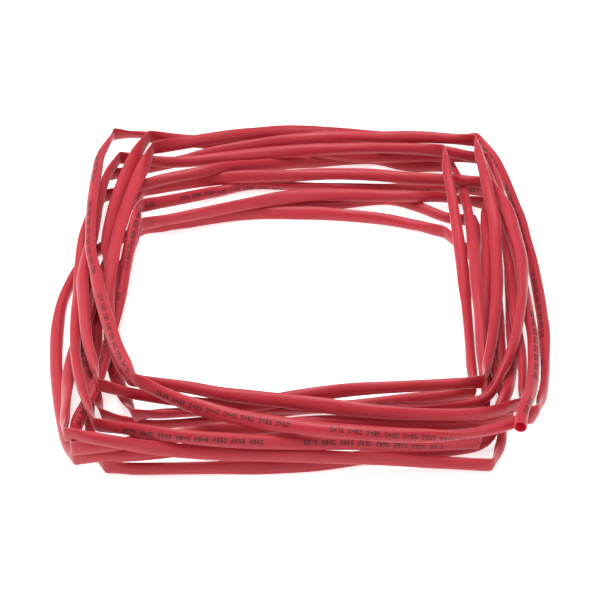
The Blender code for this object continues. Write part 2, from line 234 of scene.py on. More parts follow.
# Each side starts at its fold and runs to the next one
SIDES = (
    (
        (59.25, -85, 20.75), (60.75, -78.25, 19.75), (63.5, -70.25, 17.5), (65.75, -60, 15.25),
        (68.5, -37.75, 11.25), (68.75, -25.75, 9.75), (68.75, -11, 9), (67, 16, 9.75),
        (65.25, 32.75, 9), (64.75, 41.75, 8.5),
    ),
    (
        (62, 57, 10.25), (49.25, 62, 10.25), (31, 66, 9.25), (17.25, 70.75, 7.25),
        (0.75, 77.25, 4), (-28, 81.25, 2.5), (-37.25, 81, 3.25), (-47, 78.25, 6.25),
    ),
    (
        (-64.25, 73.75, 9.75), (-67.25, 58.25, 11.25), (-67.25, 46.75, 12.75),
        (-66.75, 24.5, 14.25), (-65, 1.75, 14.25), (-62.75, -8.25, 14.25), (-60, -21, 15),
        (-54.5, -41.75, 16.25), (-50.75, -53.5, 17.5),
    ),
    (
        (-46.25, -62.75, 17.25), (-30.5, -70.75, 15.5), (-11.5, -76.25, 14.75),
        (18.25, -81.75, 15.5), (32.25, -83.25, 16.25), (43.25, -83.75, 17.25), (55, -80.25, 17.5),
    ),
    (
        (65.75, -72.25, 16), (69.75, -56, 12), (72.5, -33.25, 8.75), (73.5, -18, 6.5),
        (74, 9.25, 3.5), (73.5, 21.5, 3), (73, 33.75, 2.25), (67.5, 69.75, 1.75),
    ),
    (
        (62.5, 82, 2.25), (50, 83.5, 1.75), (28.5, 83.75, 2.5), (-3.5, 80.25, 6.75),
        (-14, 77.25, 8), (-24, 73.5, 9.25), (-40.25, 67.5, 10.25),
    ),
    (
        (-49.75, 62, 12), (-53.75, 45.5, 11), (-57.25, 21.5, 10.75), (-58.25, 7.5, 11.5),
        (-58.5, -3.75, 12.25), (-58.25, -19.75, 11.5), (-52.75, -49, 12.75),
    ),
    (
        (-48.75, -59, 13.75), (-30.75, -61.75, 13.25), (-22.75, -63.5, 12.75),
        (-13.5, -64.5, 12.25), (-4.25, -65.5, 12), (24.75, -70.25, 11.75), (39.75, -72.25, 12.5),
        (50.25, -72.5, 12.75),
    ),
    (
        (61.75, -66.5, 10.25), (63.5, -52, 10.75), (64.5, -25.5, 8.5), (65.75, -4.75, 6),
        (66.5, 17.75, 5.75), (65.75, 47.75, 5.75),
    ),
    (
        (63.5, 61.75, 8), (53.25, 63, 7.5), (44.5, 65, 6.25), (27.75, 66.75, 4.75),
        (17.5, 67.75, 4.75), (7, 68.5, 5.75), (-10.75, 72.25, 4.5), (-29, 73.25, 6),
        (-40.5, 71.25, 8.5),
    ),
    (
        (-51.5, 70.25, 10.75), (-54.5, 60, 11.5), (-59, 42, 9.75), (-61, 26.75, 9),
        (-61.75, 8.75, 9), (-60.25, -7.25, 8.75), (-58.75, -22, 5.75), (-55.5, -41.5, 4.25),
    ),
    (
        (-47.5, -65, 5.75), (-35.5, -63.5, 5.5), (23.5, -59.75, 4.5), (42.75, -60.25, 5.5),
        (52.25, -61.25, 9), (58, -53.25, 11.25), (61.75, -45, 13.25), (66.25, -25, 12.75),
        (68.75, -2.25, 12.75), (67.5, 14.5, 13.25), (66.25, 23.75, 13.75),
    ),
    (
        (62.25, 40.75, 11.5), (48.5, 48, 8), (37, 50.25, 7.25), (23.25, 52.75, 7), (8.5, 54.5, 6),
        (-3.5, 54, 5.5), (-17, 53.25, 5.5), (-35, 53, 3.5),
    ),
    (
        (-52.5, 49.75, 3.25), (-58, 34, 4.25), (-59.25, 20.5, 5.25), (-60.25, 8.75, 5),
        (-61.75, -15.25, 8.75), (-63.75, -22.5, 5.75), (-64.75, -33.25, 5.25), (-62.75, -43.25, 5),
        (-60, -52.25, 5.5),
    ),
    (
        (-56.75, -61.75, 3.75), (-42.75, -64, 2), (-20.75, -61.75, 1.75), (3.25, -57.5, 1.75),
        (16.5, -56.75, 2.5), (31.5, -55, 3),
    ),
    (
        (51.25, -53.75, 4.5), (50.75, -43.25, 5), (51, -32.75, 4.25), (51.25, -15, 4.5),
        (51.25, 3, 5.5), (50.5, 25.5, 8), (49.75, 38.75, 10), (49, 47.25, 12),
    ),
    (
        (48.75, 58.75, 12.75), (37.75, 61.5, 12), (13.5, 65.5, 9.25), (-6.75, 65.75, 7.75),
        (-25.5, 63, 7.5), (-42.5, 60.25, 7.5),
    ),
    (
        (-61.25, 60, 9.25), (-64.25, 48.25, 10.75), (-65.75, 34.75, 10.25), (-66, 14.75, 11),
        (-67, -7, 11), (-65, -23, 12), (-62.5, -38.5, 11.25), (-59.75, -48.75, 12),
    ),
    (
        (-57, -58.5, 11.5), (-46.25, -59.75, 9.5), (-34.75, -62.5, 9.5), (-20.5, -63.75, 8.75),
        (-10.5, -62.5, 8.5), (-0.25, -60, 8.75), (14.75, -58.5, 10), (37.25, -58.25, 11.25),
    ),
    (
        (52.5, -58.75, 12.75), (54.5, -48.5, 11.5), (56.5, -38.25, 11), (59.5, -18, 10.25),
        (60.75, -5.25, 10.5), (61.75, 7.75, 10.75), (62.5, 19.5, 12.25), (61, 39.75, 15.5),
        (60.25, 51.5, 15),
    ),
    (
        (59.5, 62.25, 14.5), (42.5, 66, 13.25), (27.5, 66.75, 12.75), (17.25, 69.5, 11.25),
        (3.25, 71.5, 9.25), (-27.75, 67.75, 6.5), (-41, 63.75, 5.25), (-53.75, 60.5, 4),
    ),
    (
        (-65, 53.75, 6), (-67.75, 30.75, 6.5), (-68.5, 15.5, 8), (-68.5, 6.75, 7),
        (-67.25, -11, 7), (-66.5, -22.5, 8.5), (-66, -34.25, 8.75), (-65, -44.25, 10.25),
        (-62.75, -55.75, 11.5), (-59.75, -66.25, 12),
    ),
    (
        (-56.75, -75.25, 11.75), (-37, -80.25, 12.75), (-16.5, -80.75, 11.25), (-7.25, -80, 10.25),
        (18.75, -78.25, 8.5), (36.25, -78, 7.75),
    ),
    (
        (50.75, -77, 8), (53.75, -59.75, 5.75), (54, -51.25, 7.25), (53.75, -37.75, 8.5),
        (54.5, -23.5, 9.75), (54.5, -11, 11), (55.25, 6.5, 9), (55, 31.75, 6.75),
        (54.25, 43.25, 6.5),
    ),
    (
        (52.25, 63.75, 3), (36.25, 65.75, 1.75), (26, 70, 1.75), (8.25, 68.5, 1.75),
        (-3.5, 65.5, 3.25), (-13.75, 61.25, 5), (-25.25, 56, 7.5), (-32.75, 52.5, 8),
        (-46.25, 49.5, 7), (-55.5, 46, 6.25),
    ),
    (
        (-65.75, 46.75, 3.25), (-68.25, 28.25, 3), (-67, 13.5, 4.75), (-64.75, -3.25, 4.25),
        (-62.5, -15.5, 5.25), (-61.75, -21.75, 3), (-60, -42, 1.75), (-60.25, -51.5, 1.75),
        (-60, -62.25, 1.75), (-58.5, -72.5, 1.75),
    ),
    (
        (-55, -81.25, 2.25), (-38, -81.5, 1.75), (-0.75, -80.25, 1.75), (15.5, -77.75, 1.75),
        (26.25, -75.5, 2), (42.5, -74.75, 2.5), (53, -71, 3), (58.75, -62, 9.25), (61, -51, 7.75),
        (62.25, -40.25, 7), (63, -27.75, 4.75), (64.75, -8, 2.25), (67, 18.25, 1.75),
        (67.5, 28, 1.75), (67.75, 39.5, 1.75),
    ),
    (
        (60.5, 50.75, 2.25), (47.25, 53, 1.75), (23.75, 53, 1.75), (-5, 54.5, 1.75),
        (-17, 54.75, 1.75), (-27.25, 51.5, 1.75), (-41.25, 41.25, 4.75),
    ),
    (
        (-51.75, 31, 9), (-53, 19, 9.25), (-54.25, 6, 8.5), (-55.25, -10.5, 8),
        (-55.75, -19.5, 8.25), (-57, -37, 8.25), (-57.5, -46.5, 8.5), (-58.75, -55.75, 8.75),
        (-62, -66.75, 7),
    ),
    (
        (-62.25, -80.75, 8.25), (-49.5, -80.5, 8.75), (-34, -75.75, 8), (-23.75, -73, 8),
        (-7.5, -70.75, 7.5), (5.5, -69, 7.25), (16.75, -69.25, 7.5), (35.75, -70.75, 8.25),
        (47, -70.75, 9.25),
    ),
    (
        (57.75, -67.75, 8.25), (57.25, -57.25, 5.25), (56.25, -43.5, 5.5), (55.75, -33.5, 5.25),
        (56.5, -20, 6.5), (57.25, -8.5, 8.25), (58.25, 3, 7.75), (59.25, 14.5, 6.5),
        (60.5, 30, 5.5),
    ),
    (
        (61.5, 41.5, 4), (49.75, 44.75, 3.75), (38.5, 42.25, 5.75), (28.25, 43, 5.5), (3, 43, 6),
        (-10, 40.25, 6), (-39.25, 31, 5.75),
    ),
    (
        (-51.75, 27.25, 6), (-53.75, 21, 4.25), (-55.5, 13, 3), (-59.75, -4.5, 2),
        (-65.25, -18.5, 1.75), (-67.75, -39, 3.25), (-66.5, -63, 7.5),
    ),
    (
        (-65, -79.25, 11.25), (-51.75, -82.75, 12.25), (-41.25, -82, 9.5), (-29, -81.5, 7.75),
        (14.75, -80.5, 4.75), (36.25, -79.75, 2.5),
    ),
    (
        (53.25, -80.75, 2.25), (56.5, -70.75, 1.75), (57.5, -61.5, 1.75), (59.25, -47, 2.5),
        (59.5, -32.75, 5.75), (60, -11.25, 5.75), (55.25, 12.75, 4),
    ),
    (
        (47.25, 26.75, 3), (33, 33.5, 2), (13.5, 37.25, 1.75), (0, 38.5, 1.75),
        (-19.75, 37.5, 1.75),
    ),
    (
        (-50.25, 29.25, 2.25), (-62.25, 21.25, 1.75), (-68.75, 13, 1.75), (-73, -2.75, 1.75),
        (-74, -14.25, 1.75), (-72.25, -39.5, 1.75), (-66, -70.25, 1.75),
    ),
    (
        (-62.25, -80.25, 2.75), (-44.5, -81.25, 5.5), (-25.5, -74.75, 3.25), (-5.75, -69.75, 2),
        (10.75, -67.75, 1.75), (24, -67.25, 1.75), (37, -67.75, 1.75),
    ),
    (
        (47.5, -67, 2.25), (53.75, -52.5, 1.75), (58, -35.75, 1.75), (60.25, -25.5, 1.75),
        (61, 0.25, 1.75), (60, 11.75, 1.75), (59.25, 23.75, 1.75),
    ),
    (
        (57.75, 33.25, 2.25), (48.75, 35.75, 1.75), (38.25, 42.75, 1.75), (30.25, 46.25, 1.75),
        (10, 43.5, 1.75),
    ),
)
LAST_POINT = (-12.5, 41.75, 1.75)
print("sides:", len(SIDES), "points:", sum(len(side) for side in SIDES) + 1)

# %% [markdown]
# Turns that lie on each other.
# Two strands can't be in one place. The route is sampled every tube's width, and points of
# different turns that come too close are pushed apart a little at a time, with the shift shared
# along the strand. It is a small, repeatable stand-in for a rope simulation, and it only parts
# the centre lines. It takes each strand as upright and nearly round, so at some crossings and
# folds two flattened skins still cut into each other, by up to about 0.8 mm.


# %% The route as one line
def drawn_sides():
    """Each side as its points in metres, with the next side's fold as its last one."""
    starts = [side[0] for side in SIDES[1:]] + [LAST_POINT]
    return [np.array(side + (end,)) * MILLIMETRE for side, end in zip(SIDES, starts)]


def smooth_curve(points, spacing):
    """Points about a spacing apart on a smooth curve through the given ones."""
    gaps = np.sqrt(np.linalg.norm(np.diff(points, axis=0), axis=1))
    knots = np.concatenate([[0.0], np.cumsum(gaps)])
    slopes = np.gradient(points, knots, axis=0)
    curve = []
    for i in range(len(points) - 1):
        span = knots[i + 1] - knots[i]
        count = max(2, round(np.linalg.norm(points[i + 1] - points[i]) / spacing))
        for t in np.arange(count) / count:
            curve.append(
                (2 * t**3 - 3 * t**2 + 1) * points[i]
                + (t**3 - 2 * t**2 + t) * span * slopes[i]
                + (3 * t**2 - 2 * t**3) * points[i + 1]
                + (t**3 - t**2) * span * slopes[i + 1]
            )
    return np.array(curve)


def lengths_along(path):
    """Distance from the start of a line to each of its points."""
    return np.concatenate([[0.0], np.cumsum(np.linalg.norm(np.diff(path, axis=0), axis=1))])


def flattening(along, fold_places):
    """1 at a fold, and the little that stays all along away from it."""
    near = np.abs(along[:, None] - fold_places[None]).min(axis=1)
    share = np.clip(1 - near / FOLD_REACH, 0, 1)
    return SLACK_OVAL + (1 - SLACK_OVAL) * share * share * (3 - 2 * share)


def half_sizes(flat):
    """Half the width and half the height of the tube, whose wall keeps its length round."""
    height = TUBE + (FOLD_HEIGHT - TUBE) * flat
    width = (math.pi * TUBE - 2 * height) / (math.pi - 2)
    return width / 2, height / 2


# %% Moving the turns apart
def settle(path, folds):
    """Turns whose centre lines come too close, or too near the floor, are moved a little at a time."""
    drawn = path.copy()
    along = lengths_along(path)
    heights = half_sizes(flattening(along, along[folds]))[1]
    apart = np.triu(np.abs(along[:, None] - along[None]) > NEIGHBOUR_REACH)
    reach = TUBE + TURN_GAP
    for round_number in range(SETTLE_ROUNDS):
        if round_number % SEARCH_EVERY == 0:
            between = path[:, None] - path[None]
            first, second = np.where(apart & ((between**2).sum(axis=2) < (2 * reach) ** 2))
            squeeze = (heights[first] + heights[second]) / TUBE
        offset = path[first] - path[second]
        offset[:, 2] /= squeeze
        distance = np.maximum(np.linalg.norm(offset, axis=1), TINY)
        touching = distance < reach
        i, j = first[touching], second[touching]
        push = offset[touching] / distance[touching, None]
        push *= 0.5 * (reach - distance[touching, None])
        moves = np.zeros_like(path)
        contacts = np.zeros(len(path))
        np.add.at(moves, i, push)
        np.add.at(moves, j, -push)
        np.add.at(contacts, i, 1)
        np.add.at(contacts, j, 1)
        path = path + EASE * moves / np.maximum(contacts, 1)[:, None] ** CROWDING
        shift = path - drawn
        around = shift[:-2] + shift[2:]
        shift[1:-1] = (1 - 2 * SMOOTHING) * shift[1:-1] + SMOOTHING * around
        path = drawn + shift
        path[:, 2] = np.maximum(path[:, 2], heights)
    low = path[:, 2] < heights + FLOOR_CATCH
    path[low, 2] = heights[low]
    return path


pieces = [smooth_curve(side, STEP) for side in drawn_sides()]
folds = np.cumsum([len(piece) for piece in pieces])[:-1]
path = np.concatenate(pieces + [np.array([LAST_POINT]) * MILLIMETRE])
path = settle(path, folds)

# %% [markdown]
# A finer line.
# The skin needs rings much closer together than the settled points, so a smooth curve is drawn
# through those, side by side. At a fold the line turns in a tiny arc, because even a creased
# tube has some thickness on the outside of its bend. Rings lie closer there.

# %% Ring centres
RING_STEP = 0.58 * TUBE
CURVE_STEP = RING_STEP / 8  # the curve is drawn this finely before the rings are put on it
FOLD_STEP = 0.16 * TUBE  # ring spacing at a fold
FOLD_ARC = 0.30 * TUBE  # distance from a fold's point at which its arc starts and ends
ARC_RINGS = 5


def fine_line(points):
    """Rings' places on a smooth curve through one side's settled points, closer at its ends."""
    dense = smooth_curve(points, CURVE_STEP)
    dense = np.concatenate([dense, points[-1:]])
    run = lengths_along(dense)
    total = run[-1]
    near = np.arange(FOLD_ARC, FOLD_REACH, FOLD_STEP)
    count = max(2, round((total - 2 * FOLD_REACH) / RING_STEP))
    middle = np.linspace(FOLD_REACH, total - FOLD_REACH, count + 1)
    stops = np.concatenate([near, middle, total - near[::-1]])
    return np.stack([np.interp(stops, run, dense[:, axis]) for axis in range(3)], axis=1)


def fold_arc(before, corner, after):
    """Ring centres on a small curve from one side's last ring to the next side's first."""
    share = np.linspace(0, 1, ARC_RINGS + 2)[1:-1, None]
    return (1 - share) ** 2 * before + 2 * share * (1 - share) * corner + share**2 * after


stops = np.concatenate([[0], folds, [len(path) - 1]])
lines = [fine_line(path[a : b + 1]) for a, b in zip(stops[:-1], stops[1:])]
rings = [path[:1], lines[0]]
fold_rings = []
for number, fold in enumerate(folds):
    arc = fold_arc(lines[number][-1], path[fold], lines[number + 1][0])
    fold_rings.append(sum(len(part) for part in rings) + ARC_RINGS // 2)
    rings += [arc, lines[number + 1]]
rings.append(path[-1:])
centres = np.concatenate(rings)
ring_run = lengths_along(centres)
print("rings:", len(centres))

# %% [markdown]
# The skin of the tube.
# The real tube is extruded, so it has one even wall, but it was pressed flat on its reel. It is
# still oval, with two faint ridges along it, it rolls slowly this way and that between the
# folds, and it flattens to an upright blade at each fold. A bevelled curve gives the same round
# section all along, so rings are made one by one and joined to a hollow loft: an outer skin, a
# bore and a thin cut face at each end.

# %% Sections along the tube
OUTER_SIDES = 24
BORE_SIDES = 12
BORE_EVERY = 3  # away from the folds the bore needs fewer rings
CREASE_HEIGHT = 1.43 * TUBE  # height of the blade right at a fold
CREASE_REACH = 2.4 * TUBE  # how far the creased shape fades along the tube
CREASE_PINCH = 0.85  # how sharp the blade's two edges are, from 0, oval, to 1, pointed
RIDGE_PINCH = 0.30  # the part of that which stays all along as two faint ridges
FLATTEST = 0.8  # most that the tube is flattened away from the folds
SHARPEST = 0.6  # most that it is pinched there
ROUND_END = 4 * TUBE  # the tube turns round again over this length at each cut end

# Each row of these waves is a wavelength in metres, a size, in degrees for the roll, and a phase
OVAL_WAVES = ((0.061, 0.07, 0.0), (0.023, 0.05, 1.3), (0.147, 0.06, 2.1))
PINCH_WAVES = ((0.047, 0.12, 0.4), (0.113, 0.15, 1.9), (0.019, 0.06, 3.3))
ROLL_WAVES = ((0.083, 8.0, 0.7), (0.219, 7.0, 2.9), (0.037, 4.0, 4.4))

# Each row is a place along the route counted in sides, the way that the printed face looks in
# degrees from straight up towards the outside of the hank, and how flat the tube is there
PRINTED_FACE = (
    (0.0, 30, 0.1), (0.5, 40, 0.25), (0.9, 80, 0.3), (1.0, 90, 0.4), (1.4, 122, 0.5),
    (1.85, 30, 0.4), (1.95, 60, 0.4), (2.0, 90, 0.4), (2.1, 50, 0.4), (2.3, 25, 0.3),
    (2.8, 15, 0.4), (2.95, 45, 0.5), (3.0, 90, 0.5), (3.06, 60, 0.5), (3.14, 50, 0.5),
    (3.22, 45, 0.5), (3.5, 52, 0.5), (3.7, 60, 0.4), (3.8, 130, 0.3), (3.95, -160, 0.3),
    (4.0, -90, 0.3), (4.15, -60, 0.3), (4.3, -45, 0.3), (4.9, -60, 0.3), (5.0, -90, 0.3),
    (5.2, -160, 0.4), (5.5, 135, 0.5), (5.9, 128, 0.6), (6.0, 90, 0.6), (6.12, 160, 0.7),
    (6.45, -165, 0.6), (6.7, -170, 0.3), (6.9, -120, 0.3), (7.0, -90, 0.3), (7.5, -126, 0.5),
    (8.0, -90, 0.3), (8.4, -165, 0.25), (8.8, 160, 0.3), (9.0, 90, 0.4), (9.5, 126, 0.5),
    (9.9, 125, 0.5), (10.0, 90, 0.5), (10.1, 145, 0.7), (10.4, 160, 0.6), (10.7, 100, 0.3),
    (10.88, 20, 0.3), (10.96, -40, 0.3), (11.0, -90, 0.3), (11.08, -45, 0.3), (11.3, -40, 0.25),
    (11.6, -100, 0.25), (11.9, 180, 0.3), (12.0, 90, 0.4), (12.5, 126, 0.5), (13.0, 90, 0.4),
    (13.3, 60, 0.25), (13.7, 20, 0.3), (13.92, -5, 0.3), (14.0, -90, 0.4), (14.08, -60, 0.4),
    (14.3, -60, 0.25), (14.6, -110, 0.25), (15.0, -90, 0.3), (15.5, -170, 0.25), (16.0, 90, 0.3),
    (16.5, 126, 0.5), (17.0, 90, 0.3), (17.5, 180, 0.25), (18.0, -90, 0.3), (18.5, -126, 0.5),
    (19.0, -90, 0.3), (19.5, -175, 0.25), (20.0, 90, 0.3), (20.5, 126, 0.5), (21.0, 90, 0.3),
    (21.5, 165, 0.25), (22.0, 90, 0.3), (22.1, 62, 0.5), (22.5, 54, 0.5), (22.9, 75, 0.3),
    (23.0, 90, 0.3), (23.5, 170, 0.25), (24.0, 90, 0.3), (24.5, 126, 0.5), (25.0, 90, 0.3),
    (25.5, 175, 0.25), (26.0, -90, 0.3), (26.3, -126, 0.5), (26.7, -140, 0.25), (27.0, -90, 0.3),
    (27.5, -125, 0.25), (27.85, -55, 0.3), (28.0, -90, 0.3), (28.1, -20, 0.3), (28.5, 15, 0.3),
    (28.85, 20, 0.3), (29.0, -90, 0.3), (29.3, -122, 0.5), (29.6, -130, 0.4), (30.0, -90, 0.3),
    (30.5, -165, 0.25), (31.0, 90, 0.3), (31.5, 126, 0.5), (32.0, 90, 0.3), (32.5, 165, 0.25),
    (33.0, -90, 0.3), (33.5, -126, 0.5), (34.0, -90, 0.3), (34.5, -165, 0.25), (35.0, 90, 0.3),
    (35.5, 126, 0.5), (36.0, 90, 0.3), (36.5, 165, 0.25), (37.0, -90, 0.3), (37.5, -126, 0.5),
    (38.0, -90, 0.3), (38.5, -165, 0.25), (39.0, 90, 0.3), (39.5, 126, 0.4), (40.0, 126, 0.1),
)


def waves(run, table):
    """A slow, fixed wander along the tube, the sum of a few sine waves."""
    return sum(size * np.sin(2 * math.pi * run / length + phase) for length, size, phase in table)


print("places in the table of the printed face:", len(PRINTED_FACE))


# %% How flat, how sharp and how rolled the tube is at each ring
fold_run = ring_run[fold_rings]
to_fold = np.abs(ring_run[:, None] - fold_run[None]).min(axis=1)
fade = np.clip(1 - to_fold / CREASE_REACH, 0, 1)
crease = fade * fade * (3 - 2 * fade)
to_end = np.minimum(ring_run, ring_run[-1] - ring_run)
squeezed = np.clip(to_end / ROUND_END, 0, 1)
side_ends = np.concatenate([[0.0], fold_run, ring_run[-1:]])
place_in_sides = np.interp(ring_run, side_ends, np.arange(len(side_ends)))
row_place, row_angle, row_flat = np.array(PRINTED_FACE).T
face_angle = np.interp(place_in_sides, row_place, np.unwrap(row_angle, period=360))
slack = np.interp(place_in_sides, row_place, row_flat) + waves(ring_run, OVAL_WAVES)
slack = np.clip(slack, 0.0, FLATTEST) * squeezed
flat = slack + (1 - slack) * crease
pinch = np.clip(RIDGE_PINCH + waves(ring_run, PINCH_WAVES), 0.0, SHARPEST) * squeezed
pinch += (CREASE_PINCH - pinch) * crease
height = TUBE + (CREASE_HEIGHT - TUBE) * flat
width = (math.pi * TUBE - 2 * height) / (math.pi - 2)
face_angle = face_angle + waves(ring_run, ROLL_WAVES) * (1 - crease)
roll = np.radians(90 - face_angle)
half_rise = np.hypot(height / 2 * np.cos(roll), width / 2 * np.sin(roll))
centres[:, 2] = np.maximum(centres[:, 2], half_rise)
print("the tube is", round(width.max() * 1000, 2), "to", round(width.min() * 1000, 2), "mm wide")


# %% Frames along the line
ahead = np.diff(centres, axis=0)
ahead /= np.linalg.norm(ahead, axis=1)[:, None]
tangents = np.concatenate([ahead[:1], ahead[:-1] + ahead[1:], ahead[-1:]])
tangents /= np.linalg.norm(tangents, axis=1)[:, None]
sideways = np.cross(tangents, (0.0, 0.0, 1.0))
sideways /= np.linalg.norm(sideways, axis=1)[:, None]
upward = np.cross(sideways, tangents)
rolled_side = sideways * np.cos(roll)[:, None] + upward * np.sin(roll)[:, None]
rolled_up = upward * np.cos(roll)[:, None] - sideways * np.sin(roll)[:, None]


def ring_corners(ring, sides, inset):
    """Corners of one ring: an oval that is pinched to a blade with two edges at a fold."""
    turn = np.arange(sides) * 2 * math.pi / sides
    pointed = np.arcsin(np.clip(np.sin(turn), -1, 1)) * 2 / math.pi
    rise = np.sin(turn) + pinch[ring] * (pointed - np.sin(turn))
    wide = (width[ring] / 2 - inset) * np.cos(turn)
    tall = (height[ring] / 2 - inset) * rise
    corners = centres[ring] + wide[:, None] * rolled_side[ring] + tall[:, None] * rolled_up[ring]
    corners[:, 2] = np.maximum(corners[:, 2], 0.0)
    return corners


print("frames:", len(tangents))

# %% Corners of the loft
BORE_DENSE = 1.5 * CREASE_REACH  # the bore has every ring this close to a fold
near_fold = to_fold < BORE_DENSE
bore_rings = [n for n in range(len(centres)) if near_fold[n] or n % BORE_EVERY == 0]
if bore_rings[-1] != len(centres) - 1:
    bore_rings.append(len(centres) - 1)
outer = np.concatenate([ring_corners(n, OUTER_SIDES, 0.0) for n in range(len(centres))])
inner = np.concatenate([ring_corners(n, BORE_SIDES, WALL) for n in bore_rings])
low, high = outer.min(axis=0), outer.max(axis=0)
middle = np.array([(low[0] + high[0]) / 2, (low[1] + high[1]) / 2, 0.0])
print("centring shift", middle)
corners = np.concatenate([outer, inner]) - middle
centre_line = centres - middle


# %% Faces of the loft
def loft_faces(start, ring_count, sides, outwards):
    """Quads between rings whose corners are numbered one after the other."""
    ring = np.arange(ring_count - 1)[:, None] * sides
    side = np.arange(sides)[None]
    following = (side + 1) % sides
    near, far = (ring + side, ring + following), (ring + following + sides, ring + side + sides)
    quad = np.stack(near + far, axis=-1).reshape(-1, 4) + start
    return quad[:, ::-1] if outwards else quad


def cut_face(outer_start, inner_start, facing_back):
    """The thin ring of wall at a cut end, between the skin and the bore."""
    faces = []
    for side in range(BORE_SIDES):
        a, b, c = (outer_start + (2 * side + k) % OUTER_SIDES for k in range(3))
        d, e = inner_start + side, inner_start + (side + 1) % BORE_SIDES
        faces += [(a, b, d), (b, e, d), (b, c, e)]
    return [face if facing_back else face[::-1] for face in faces]


faces = [tuple(face) for face in loft_faces(0, len(centres), OUTER_SIDES, True)]
faces += [tuple(face) for face in loft_faces(len(outer), len(bore_rings), BORE_SIDES, False)]
faces += cut_face(0, len(outer), True)
last_outer = len(outer) - OUTER_SIDES
last_inner = len(corners) - BORE_SIDES
faces += cut_face(last_outer, last_inner, False)
tube_mesh = bpy.data.meshes.new("shrink_tube")
tube_mesh.from_pydata([tuple(corner) for corner in corners], [], faces)
tube_mesh.validate()
print("triangles:", sum(len(p.vertices) - 2 for p in tube_mesh.polygons))

# %% [markdown]
# Where on the tube a point is.
# The plastic's fine marks run along the tube, so the material needs to know how far along and how
# far round a point lies. Both go into a map on the mesh: along it in metres, round it from 0 to 1.
# Two attributes tell the material where the folds are, and which corners belong to the bore.

# %% Map along and round the tube
SHARP_ANGLE = 50  # degrees: the rims of the cut ends and the edges of a hard fold are sharp


def for_corners(of_ring):
    """Values of the rings, repeated for every corner of the skin and then of the bore."""
    return np.concatenate([np.repeat(of_ring, OUTER_SIDES), np.repeat(of_ring[bore_rings], BORE_SIDES)])


run_of_corner = for_corners(ring_run)
round_of_corner = np.concatenate(
    [
        np.tile(np.arange(OUTER_SIDES) / OUTER_SIDES, len(centres)),
        np.tile(np.arange(BORE_SIDES) / BORE_SIDES, len(bore_rings)),
    ]
)
is_bore = np.concatenate([np.zeros(len(outer)), np.ones(len(inner))])
tube_map = tube_mesh.uv_layers.new(name="along_and_round")
loops = np.array([loop.vertex_index for loop in tube_mesh.loops])
loop_start = np.array([polygon.loop_start for polygon in tube_mesh.polygons])
loop_count = np.array([polygon.loop_total for polygon in tube_mesh.polygons])
face_of_loop = np.repeat(np.arange(len(loop_start)), loop_count)
round_of_loop = round_of_corner[loops]
highest = np.maximum.reduceat(round_of_loop, loop_start)[face_of_loop]
over_seam = highest - round_of_loop > 0.5  # more than half way round within one face
round_of_loop = np.where(over_seam, round_of_loop + 1, round_of_loop)
tube_map.data.foreach_set("uv", np.stack([run_of_corner[loops], round_of_loop], axis=1).ravel())
for name, values in (("crease", for_corners(crease)), ("bore", is_bore)):
    attribute = tube_mesh.attributes.new(name, "FLOAT", "POINT")
    attribute.data.foreach_set("value", values)
tube_mesh.shade_smooth()
tube_mesh.set_sharp_from_angle(angle=math.radians(SHARP_ANGLE))
tube = bpy.data.objects.new("shrink_tube", tube_mesh)
bpy.context.scene.collection.objects.link(tube)
print("map layers:", [layer.name for layer in tube_mesh.uv_layers])

# %% [markdown]
# The plastic.
# The tube is cross-linked polyolefin, extruded and then stretched. It is dyed right through, so
# where only other strands are reflected it is a deep crimson. Its skin is satin, and a white
# studio reflected in it lays a soft pink veil over every face that is turned to the light. The
# die leaves fine lines along the tube and handling leaves dull patches. Near each fold a pale pink
# painted highlight is put on the two edges of the flattened tube. A ramp over a noise stretched
# along the tube gives the lines, and the fold's own attribute places the painted highlight.

# %% Cross-linked polyolefin, extruded
DIE_LINES = 34.0  # fine lines round the tube, each about 0.3 mm wide
LINE_REACH = 22.0  # changes of a line per metre of tube
PATCHES = 55.0  # dull patches per metre, each about 18 mm long
PATCHES_ROUND = 3.0  # dull patches round the tube, each nearly 4 mm wide

material, tree, output = new_material("cross_linked_polyolefin_extruded_red")
place = add_node(tree, "ShaderNodeUVMap", {"uv_map": "along_and_round"})
line_scale = (LINE_REACH, DIE_LINES, 1.0)
line_place = add_node(tree, "ShaderNodeMapping", Vector=place.outputs[0], Scale=line_scale)
lines_noise = add_node(tree, "ShaderNodeTexNoise", Vector=line_place.outputs[0], Scale=1.0, Detail=3.0)
patch_scale = (PATCHES, PATCHES_ROUND, 1.0)
patch_place = add_node(tree, "ShaderNodeMapping", Vector=place.outputs[0], Scale=patch_scale)
patch_noise = add_node(tree, "ShaderNodeTexNoise", Vector=patch_place.outputs[0], Scale=1.0, Detail=4.0)
tint = add_node(tree, "ShaderNodeValToRGB", _0=lines_noise.outputs[0])
set_ramp(tint, ((0.30, linear_colour("a40c22")), (0.70, linear_colour("b3172d"))))
print("material:", material.name)

# %% Painted highlight on the edges at the folds
EDGES = 2.0  # a flattened tube has two edges
EDGE_HIGHLIGHT_RAMP = ((0.40, 0.0), (0.49, 1.0))  # 0.5 is right on an edge, and 0 is the middle of a face
times, there_and_back = {"operation": "MULTIPLY"}, {"operation": "PINGPONG"}

